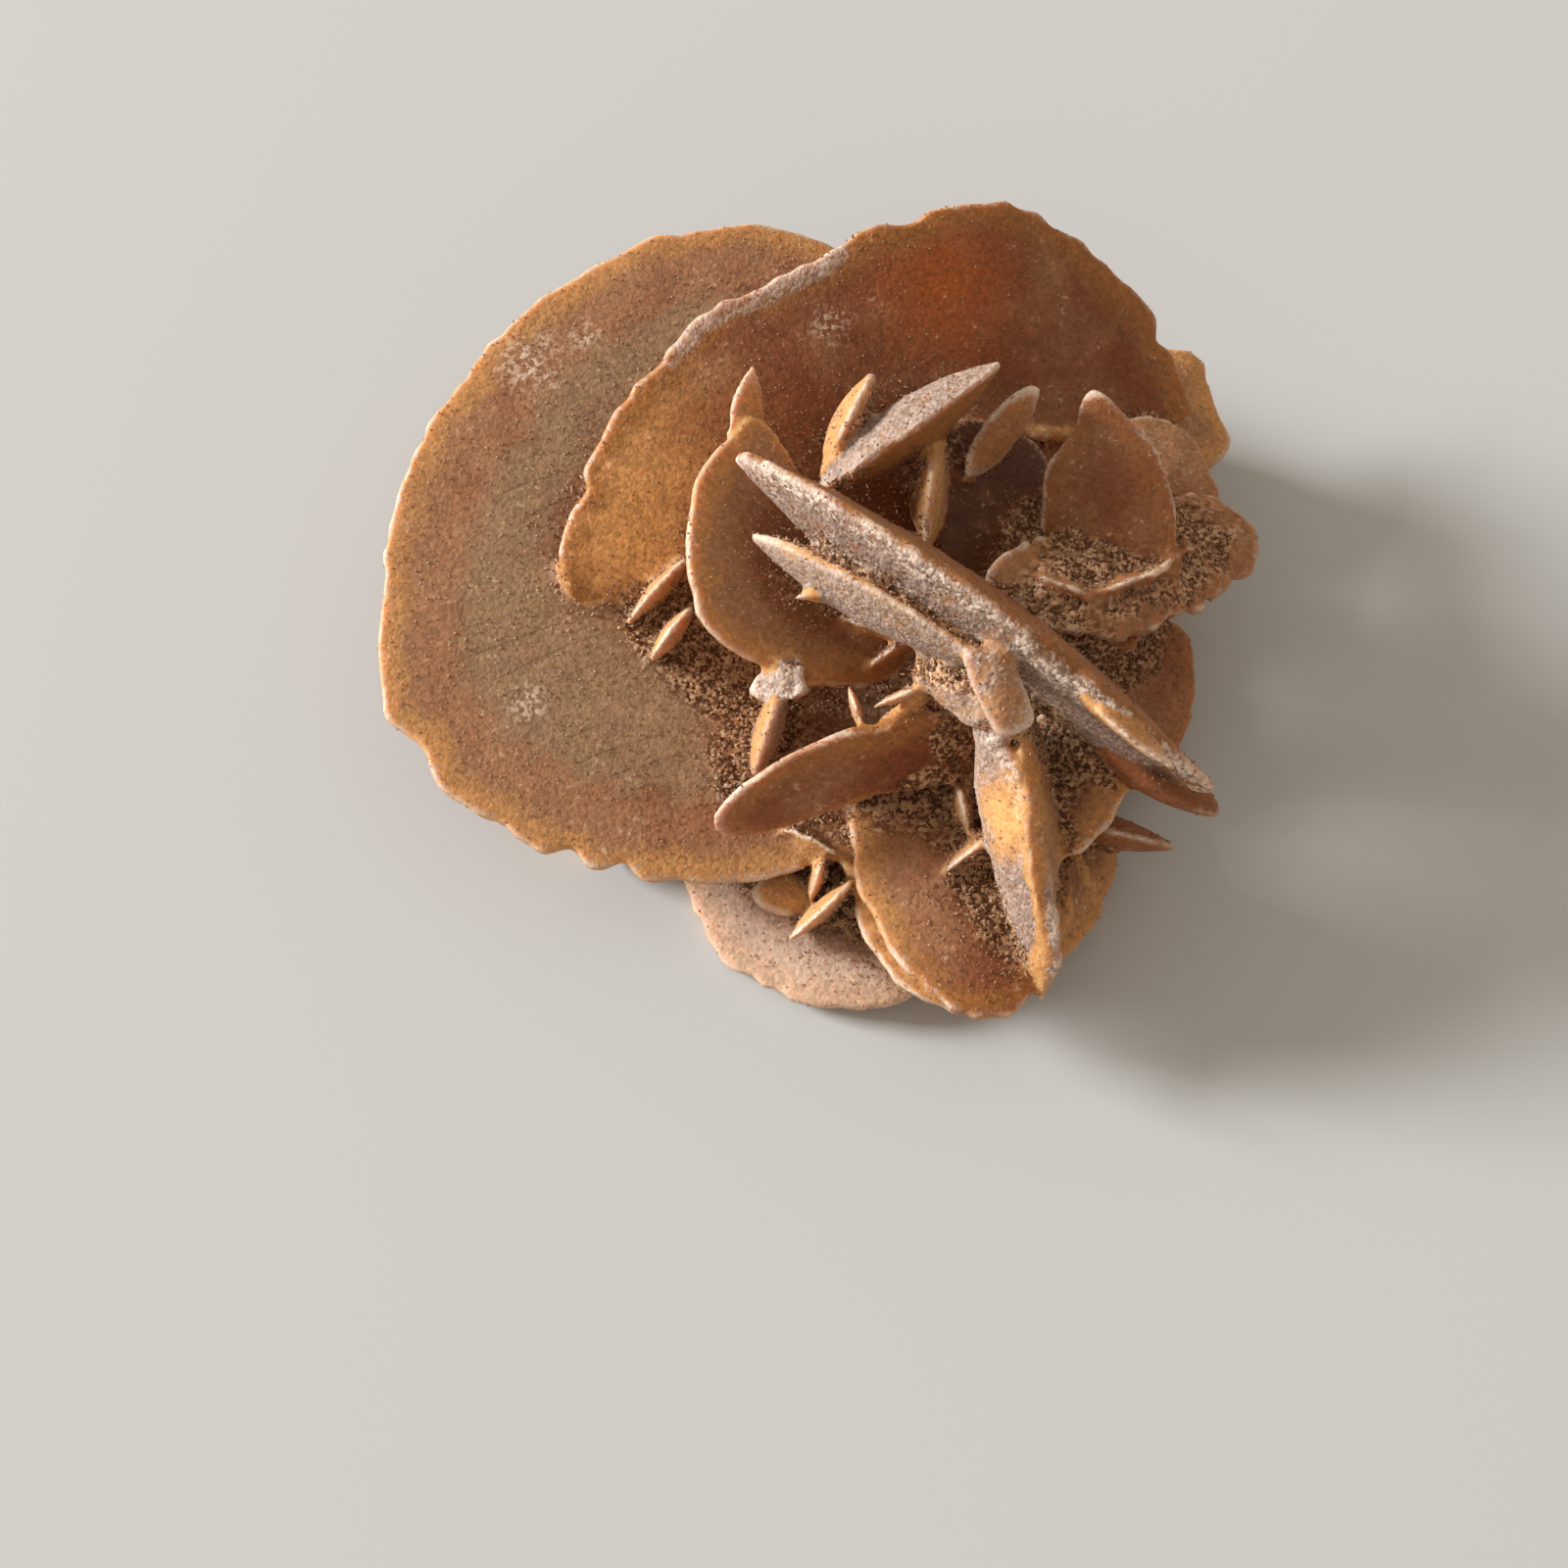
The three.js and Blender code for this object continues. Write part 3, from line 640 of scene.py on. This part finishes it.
class Value:
    """A number that varies over a surface. Sums and products of it add Math nodes."""

    def __init__(self, tree, socket):
        self.tree = tree
        self.socket = socket

    def math(self, operation, *numbers):
        numbers = dict(enumerate(numbers or (self,)))
        made = add_node(self.tree, "ShaderNodeMath", {"operation": operation}, numbers)
        return Value(self.tree, made.outputs[0])

    def __add__(self, other):
        return self.math("ADD", self, other)

    def __radd__(self, other):
        return self.math("ADD", other, self)

    def __sub__(self, other):
        return self.math("SUBTRACT", self, other)

    def __rsub__(self, other):
        return self.math("SUBTRACT", other, self)

    def __mul__(self, other):
        return self.math("MULTIPLY", self, other)

    def __rmul__(self, other):
        return self.math("MULTIPLY", other, self)

    def between(self, start, end):
        """0 below start, 1 above end, and a soft step between them. End may be the lower one."""
        if end < start:
            return 1 - self.between(end, start)
        made = add_node(self.tree, "ShaderNodeMapRange", {"interpolation_type": "SMOOTHSTEP"},
                        {0: self, 1: start, 2: end, 3: 0.0, 4: 1.0})
        return Value(self.tree, made.outputs[0])


class Finish:
    """A material with one Principled shader, and the nodes that feed it."""

    def __init__(self, name):
        self.material = bpy.data.materials.new(name)
        self.material.use_nodes = True
        self.tree = self.material.node_tree
        self.shader = self.tree.nodes["Principled BSDF"]

    def node(self, kind, settings, sockets):
        return add_node(self.tree, kind, settings, sockets)

    def feed(self, **values):
        """Sets or links the shader's sockets, with _ for each space in a socket's name."""
        for name, value in values.items():
            join(self.tree, value, self.shader.inputs[name.replace("_", " ")])

    def attribute(self, name):
        made = self.node("ShaderNodeAttribute", {"attribute_name": name}, {})
        return Value(self.tree, made.outputs["Fac"])

    def millimetres(self):
        """The place on the piece, in millimetres."""
        place = self.node("ShaderNodeTexCoord", {}, {}).outputs["Object"]
        return self.node("ShaderNodeVectorMath", {"operation": "MULTIPLY"},
                         {0: place, 1: (1000, 1000, 1000)}).outputs[0]

    def along(self, place):
        """How far along x and along y the place is."""
        apart = self.node("ShaderNodeSeparateXYZ", {}, {0: place})
        return Value(self.tree, apart.outputs[0]), Value(self.tree, apart.outputs[1])

    def noise(self, place, size, detail=2.0, roughness=0.5):
        """Soft blotches about as wide as the size, in mm, from about -1 to 1."""
        made = self.node("ShaderNodeTexNoise", {"normalize": False},
                         {"Vector": place, "Scale": 1 / size, "Detail": detail,
                          "Roughness": roughness})
        return Value(self.tree, made.outputs["Fac"])

    def grains(self, place, size):
        """Packed grains about as wide as the size, in mm: their domes, and a number for each."""
        made = self.node("ShaderNodeTexVoronoi", {"feature": "F1"},
                         {"Vector": place, "Scale": 1 / size})
        apart = self.node("ShaderNodeSeparateColor", {}, {0: made.outputs["Color"]})
        return 1 - Value(self.tree, made.outputs["Distance"]), Value(self.tree, apart.outputs[0])

    def blend(self, share, first, second):
        """The first colour where the share is 0, the second where it is 1."""
        made = self.node("ShaderNodeMix", {"data_type": "RGBA"},
                         {0: share, 6: first, 7: second})
        return made.outputs[2]

    def shade(self, colour, amount):
        """The colour made darker or lighter by the amount."""
        parts = self.node("ShaderNodeCombineXYZ", {}, {0: amount, 1: amount, 2: amount})
        return self.node("ShaderNodeVectorMath", {"operation": "MULTIPLY"},
                         {0: colour, 1: parts.outputs[0]}).outputs[0]

    def bump(self, height, depth):
        """Raises the surface by up to the depth, in metres, where the height is 1."""
        made = self.node("ShaderNodeBump", {},
                         {"Height": height, "Distance": depth, "Strength": 1.0})
        return made.outputs["Normal"]


FLESH = (0.45, 0.22, 0.108, 1)
PALE_FLESH = (0.66, 0.45, 0.33, 1)
DEEP = (0.28, 0.085, 0.032, 1)
UMBER = (0.12, 0.045, 0.022, 1)
VEIL = (0.40, 0.235, 0.128, 1)
PAINTED_RED_GLOW = (0.50, 0.13, 0.028, 1)
PAINTED_HONEY_GLOW = (0.95, 0.49, 0.165, 1)
HONEY = (0.63, 0.32, 0.115, 1)
AMBER = (0.42, 0.175, 0.05, 1)
FROSTED = (0.29, 0.205, 0.16, 1)
RIME = (0.42, 0.32, 0.265, 1)
SAND = (0.62, 0.37, 0.205, 1)
GROUND = (0.16, 0.065, 0.028, 1)
WORN = (0.80, 0.63, 0.50, 1)
SHADED_WORN = (0.50, 0.36, 0.26, 1)
GRAIN_SIZE = 0.36
STRIPE_APART = 2.9
GRAIN_HEIGHT = 0.12 * MM


def gypsum_finish():
    """Sandy gypsum: honey rims, brown faces, white wear on edges and sand in the corners."""
    gypsum = Finish("gypsum")
    place = gypsum.millimetres()
    blotch = gypsum.noise(place, 7.0, 3.0)
    cloud = gypsum.noise(place, 2.6, 3.0, 0.6)
    speck = gypsum.noise(place, 0.7, 2.0, 0.6)
    sway = gypsum.noise(place, 14.0, 0.0)
    dome, grain = gypsum.grains(place, GRAIN_SIZE)
    grain = grain * 2 - 1
    inside = gypsum.attribute("inside_rim")
    tone_here = gypsum.attribute("tone")
    painted_honey_glow_here = gypsum.attribute("painted_honey_glow")
    hollow = gypsum.attribute("hollow")
    lie = gypsum.attribute("lie")

    # The body: brown to pinkish by tone, which is partly painted shade; painted shade darkens it in
    # the hollows low in the cluster, and painted red and honey glows show light shining through
    face = gypsum.blend((tone_here + 0.3 * blotch).between(-0.7, 0.1), DEEP, FLESH)
    face = gypsum.blend((tone_here + 0.2 * blotch).between(0.15, 0.8), face, PALE_FLESH)
    face = gypsum.blend((tone_here + 0.1 * cloud).between(-0.6, -1.0), face, UMBER)
    veil_here = gypsum.attribute("veil")
    veiled = (veil_here + 0.35 * cloud + 0.2 * blotch).between(0.1, 0.9)
    face = gypsum.blend(veiled, face, VEIL)
    x, y = gypsum.along(place)
    across = 0.42 * x - 0.9 * y + 2.2 * sway
    lines = (across * (2 * math.pi / STRIPE_APART)).math("SINE")
    striped = lines.between(0.93, 1.0) * veil_here * (sway + 0.5 * blotch).between(-0.1, 0.5)
    face = gypsum.blend(0.4 * striped, face, UMBER)
    # Painted shade: the body darkens towards DEEP in the hollows, where shade falls
    painted_hollow_shade = (hollow + 0.05 * blotch + 0.04 * cloud).between(0.17, 0.30)
    face = gypsum.blend(0.65 * painted_hollow_shade, face, DEEP)
    # Painted light: a red spot and a honey spot of glow where light shines through the plate
    face = gypsum.blend(0.8 * gypsum.attribute("painted_red_glow"), face, PAINTED_RED_GLOW)
    face = gypsum.blend(0.75 * painted_honey_glow_here, face, PAINTED_HONEY_GLOW)

    # The rim, where the crystal is thin and light comes through it
    rim = (inside + 1.0 * cloud + 0.8 * blotch).between(4.0, 1.2)
    rim_colour = gypsum.blend(tone_here.between(-0.35, 0.05), AMBER, HONEY)
    face = gypsum.blend(0.85 * rim * gypsum.attribute("honey"), face, rim_colour)

    # The frosting of fine sand on some faces and along the bevel
    bevel_here = gypsum.attribute("bevel")
    banded = bevel_here * (inside + 0.8 * cloud + 0.3 * speck).between(3.2, 1.4)
    unfrosted = 0.7 * painted_honey_glow_here + 0.3 * tone_here.between(-0.5, -1.0)
    frosted = gypsum.attribute("frost") - unfrosted + 0.55 * banded
    frosting = (frosted + 0.25 * cloud + 0.14 * speck).between(0.35, 0.75)
    near_edge = (inside + 0.4 * cloud).between(1.6, 0.7)
    rime_share = (grain + 0.7 * speck + near_edge + 1.2 * banded).between(-1.2, 1.8)
    rime = gypsum.blend(rime_share, FROSTED, RIME)
    # Painted light: the rime is lighter on faces that look up and lighter still on the bevel band;
    # it also follows the tone
    rime_tone_and_painted_light = 0.81 + 0.2 * lie.between(0.2, 0.9) + 0.35 * tone_here.between(-1, 1)
    rime = gypsum.shade(rime, rime_tone_and_painted_light + 0.25 * banded)
    face = gypsum.blend(0.85 * frosting, face, rime)

    # The sand that has set in the corners
    caked_here = gypsum.attribute("caked")
    bedded = (hollow + 0.07 * cloud + 0.2 * caked_here).between(0.24, 0.34)
    crust = gypsum.blend((0.6 * grain + 0.7 * speck).between(-0.3, 0.4), GROUND, SAND)
    face = gypsum.blend(bedded, face, crust)

    # White wear: rubbed edges, flecks, scuffs and a crumbling ridge
    corner = gypsum.attribute("corner")
    worn = (corner + 0.05 * grain + 0.06 * speck).between(0.36, 0.26)
    rubbed = (blotch + 0.6 * cloud + 0.3 * speck).between(-0.7, 0.4)
    worn_line = worn * (inside + 0.5 * cloud).between(1.8, 0.5) * (0.45 + 0.55 * rubbed)
    # Painted shade: the edge wear is darker on faces that look down or sideways
    chalk_with_painted_shade = gypsum.blend(lie.between(0.1, 0.8), SHADED_WORN, WORN)
    face = gypsum.blend(0.85 * worn_line, face, chalk_with_painted_shade)
    fleck_places = (cloud + 0.7 * blotch).between(0.15, 0.5)
    flecks = (speck + 0.3 * grain).between(0.55, 0.75) * fleck_places
    face = gypsum.blend(0.3 * flecks, face, WORN)
    scraped = (speck + 0.4 * grain + 0.4 * cloud).between(-0.1, 0.4)
    face = gypsum.blend(0.7 * gypsum.attribute("scuff") * scraped, face, WORN)
    crumbled = (0.5 * grain + speck + 0.9 * cloud).between(-0.2, 0.5)
    face = gypsum.blend(0.65 * gypsum.attribute("ridge") * crumbled, face, WORN)

    face = gypsum.shade(face, 1 + 0.17 * grain + 0.12 * speck + 0.08 * cloud)
    sandiness = 0.3 + 0.7 * bedded + 0.5 * frosting
    gypsum.feed(
        Base_Color=face,
        Normal=gypsum.bump((dome + 0.7 * speck) * sandiness, GRAIN_HEIGHT),
        Roughness=0.62 - 0.1 * rim + 0.12 * frosting,
        Specular_IOR_Level=0.2,
        Subsurface_Weight=0.55,
        Subsurface_Radius=(1.0, 0.35, 0.15),
        Subsurface_Scale=2.2 * MM,
    )
    return gypsum.material


rose.data.materials.append(gypsum_finish())
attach(rose, "root")
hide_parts("sand_rose")

# The crust: wormy clumps and rods of sand that set hard in the corners between the crystals and
# stand out of them like bristles. They are cemented where they lie.

MOST_CLUMPS = 12000
CLUMP_SIDES = 4
CLUMP_RINGS = 3


def grain_tree(name, sides, rings):
    """Scatters grains over a mesh where its share attribute says, as thick as asked."""
    tree = bpy.data.node_groups.new(name, "GeometryNodeTree")
    sockets = tree.interface
    sockets.new_socket("Mesh", in_out="INPUT", socket_type="NodeSocketGeometry")
    for label in ("Per Square Metre", "Width", "Length", "Lean", "Rise"):
        sockets.new_socket(label, in_out="INPUT", socket_type="NodeSocketFloat")
    sockets.new_socket("Seed", in_out="INPUT", socket_type="NodeSocketInt")
    sockets.new_socket("Finish", in_out="INPUT", socket_type="NodeSocketMaterial")
    sockets.new_socket("Mesh", in_out="OUTPUT", socket_type="NodeSocketGeometry")

    def node(kind, settings, values):
        return add_node(tree, kind, settings, values)

    given = node("NodeGroupInput", {}, {}).outputs
    width = Value(tree, given["Width"])
    length = Value(tree, given["Length"])
    seed = Value(tree, given["Seed"])

    def chance(kind, low_end, high_end, offset):
        """A random number or vector for each grain."""
        made = node("FunctionNodeRandomValue", {"data_type": kind}, {"Seed": seed + float(offset)})
        pair = [socket for socket in made.inputs if socket.enabled][:2]
        pair[0].default_value = low_end
        pair[1].default_value = high_end
        return Value(tree, next(socket for socket in made.outputs if socket.enabled))

    share = node("GeometryNodeInputNamedAttribute", {"data_type": "FLOAT"}, {"Name": "share"})
    density = Value(tree, share.outputs["Attribute"]) * Value(tree, given["Per Square Metre"])
    scatter = node("GeometryNodeDistributePointsOnFaces", {"distribute_method": "RANDOM"},
                   {"Mesh": given["Mesh"], "Density": density, "Seed": given["Seed"]})
    grain = node("GeometryNodeMeshUVSphere", {},
                 {"Segments": sides, "Rings": rings, "Radius": 0.5})
    tilt = node("ShaderNodeVectorMath", {"operation": "SCALE"},
                {0: chance("FLOAT_VECTOR", (-1, -1, -1), (1, 1, 1), 1), "Scale": given["Lean"]})
    way = node("ShaderNodeVectorMath", {"operation": "ADD"},
               {0: scatter.outputs["Normal"], 1: tilt.outputs[0]})
    turned = node("FunctionNodeAlignRotationToVector", {"axis": "Z"}, {"Vector": way.outputs[0]})
    spun = node("FunctionNodeRotateRotation", {"rotation_space": "LOCAL"},
                {"Rotation": turned.outputs[0],
                 "Rotate By": chance("FLOAT_VECTOR", (0, 0, 0), (0, 0, 6.28), 2)})
    size = node("ShaderNodeCombineXYZ", {},
                {0: width * chance("FLOAT", 0.6, 1.35, 3),
                 1: width * chance("FLOAT", 0.6, 1.35, 4),
                 2: length * chance("FLOAT", 0.4, 1.25, 5)})
    placed = node("GeometryNodeInstanceOnPoints", {},
                  {"Points": scatter.outputs["Points"], "Instance": grain.outputs["Mesh"],
                   "Rotation": spun.outputs[0], "Scale": size.outputs[0]})
    lift = node("ShaderNodeVectorMath", {"operation": "SCALE"},
                {0: scatter.outputs["Normal"], "Scale": given["Rise"]})
    raised = node("GeometryNodeTranslateInstances", {},
                  {"Instances": placed.outputs[0], "Translation": lift.outputs[0],
                   "Local Space": False})
    shaded = node("GeometryNodeStoreNamedAttribute",
                  {"data_type": "FLOAT", "domain": "INSTANCE"},
                  {"Geometry": raised.outputs[0], "Name": "grain_shade",
                   "Value": chance("FLOAT", 0.0, 1.0, 6)})
    real = node("GeometryNodeRealizeInstances", {}, {"Geometry": shaded.outputs[0]})
    done = node("GeometryNodeSetMaterial", {},
                {"Geometry": real.outputs[0], "Material": given["Finish"]})
    node("NodeGroupOutput", {}, {"Mesh": done.outputs[0]})
    return tree


def scatter_grains(name, share, tree, inputs):
    """A piece made of the grains that the tree scatters over the rose."""
    made = bpy.data.objects.new(name, rose.data.copy())
    bpy.context.collection.objects.link(made)
    keep_attribute(made, "share", share)
    modifier = made.modifiers.new("scatter", "NODES")
    modifier.node_group = tree
    for item in tree.interface.items_tree:
        if item.in_out == "INPUT" and item.name in inputs:
            modifier[item.identifier] = inputs[item.name]
    make_plain(made)
    return made


def point_areas():
    """The surface each point of the rose stands for, in square metres."""
    areas = np.empty(len(rose.data.polygons), np.float32)
    rose.data.polygons.foreach_get("area", areas)
    corners = np.empty(len(rose.data.loops), np.int32)
    rose.data.loops.foreach_get("vertex_index", corners)
    return np.bincount(corners, np.repeat(areas / 3, 3), len(rose.data.vertices))


areas = point_areas()


def per_square_metre(share, most):
    """How densely grains lie where the share is 1, so that the rose has this many in all."""
    return most / float((areas * share).sum())


DARK_GRAINS = ((0.20, 0.08, 0.035, 1), (0.40, 0.20, 0.10, 1))
PALE_GRAINS = ((0.34, 0.18, 0.09, 1), (0.60, 0.38, 0.23, 1))


def crust_finish():
    """Tan sand grains, each a little lighter or darker, and darker on a crystal of dark tone, which
    is partly painted shade.
    """
    crust = Finish("crust")
    shade_here = crust.attribute("grain_shade")
    dark = crust.blend(shade_here, *DARK_GRAINS)
    pale = crust.blend(shade_here, *PALE_GRAINS)
    colour = crust.blend(crust.attribute("tone").between(-0.6, 0.2), dark, pale)
    crust.feed(Base_Color=colour, Roughness=0.7)
    return crust.material


patchy = read_volume(smooth_noise(2.4, 11), places)
upward = smoothstep(-0.35, 0.2, normals[:, 2])
off_the_table = smoothstep(0.3, 0.8, places[:, 2])
cornered = smoothstep(0.2, 0.3, sheltered + 0.06 * patchy + 0.14 * marks["caked"])
crust_share = cornered * upward * off_the_table
crust_grains = crust_finish()
clumps = grain_tree("clumps", CLUMP_SIDES, CLUMP_RINGS)
crust = scatter_grains("crust", crust_share, clumps, {
    "Per Square Metre": per_square_metre(crust_share, MOST_CLUMPS),
    "Width": 0.28 * MM,
    "Length": 0.72 * MM,
    "Lean": 0.9,
    "Rise": 0.12 * MM,
    "Seed": 3,
    "Finish": crust_grains,
})
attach(crust, "root")

# The sand: single grains a third of a millimetre across, stuck to the faces of the crystals all
# over, thicker towards the corners. Each is cemented to the face it lies on.

MOST_GRAINS = 24000
GRAIN_SIDES = 4
GRAIN_RINGS = 2
sand_share = 0.25 + smoothstep(0.12, 0.28, sheltered + 0.06 * patchy)
sand_share *= 0.3 + 0.7 * upward
sand_share *= off_the_table
grains = grain_tree("grains", GRAIN_SIDES, GRAIN_RINGS)
sand = scatter_grains("sand", sand_share, grains, {
    "Per Square Metre": per_square_metre(sand_share, MOST_GRAINS),
    "Width": 0.3 * MM,
    "Length": 0.3 * MM,
    "Lean": 2.0,
    "Rise": 0.03 * MM,
    "Seed": 8,
    "Finish": crust_grains,
})
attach(sand, "root")

# The table, light and camera: a plain pale top, a soft light low on the left and a little behind,
# and a camera that looks down on the rose from the front. None of it is part of the rose.


def floor_finish():
    floor = Finish("floor")
    floor.feed(Base_Color=(0.62, 0.612, 0.59, 1), Roughness=1.0, Specular_IOR_Level=0.0)
    return floor.material


bpy.ops.mesh.primitive_plane_add(size=6)
floor = bpy.context.object
floor.name = "floor"
floor.data.materials.append(floor_finish())

AIM = Vector((-GROWN_MIDDLE[0], -GROWN_MIDDLE[1], 0)) * GROWN_TO_METRES
EYE_HEIGHT = math.radians(66)
EYE_DISTANCE = 270 * GROWN_TO_METRES
camera = bpy.data.objects.new("camera", bpy.data.cameras.new("camera"))
bpy.context.collection.objects.link(camera)
camera.data.sensor_width = 36
camera.data.lens = 57.8
camera.data.clip_start = 0.01
to_eye = Vector((0, -math.cos(EYE_HEIGHT), math.sin(EYE_HEIGHT)))
camera.location = AIM + to_eye * EYE_DISTANCE
camera.rotation_euler = (AIM - camera.location).to_track_quat("-Z", "Y").to_euler()
bpy.context.scene.camera = camera

TO_WINDOW = (-0.909, 0.237, 0.342)
WINDOW_DISTANCE = 4
window = bpy.data.objects.new("window", bpy.data.lights.new("window", "AREA"))
bpy.context.collection.objects.link(window)
window.data.shape = "RECTANGLE"
window.data.size = 1.2
window.data.size_y = 1.0
window.data.energy = 285
window.data.color = (0.93, 0.965, 1)
window.location = Vector(TO_WINDOW) * WINDOW_DISTANCE
window.rotation_euler = (-window.location).to_track_quat("-Z", "Y").to_euler()

room = bpy.data.worlds.new("room")
room.use_nodes = True
room_light = room.node_tree.nodes["Background"]
room_light.inputs["Color"].default_value = (1, 0.9, 0.78, 1)
room_light.inputs["Strength"].default_value = 0.47
bpy.context.scene.world = room
bpy.context.scene.view_settings.view_transform = "Standard"
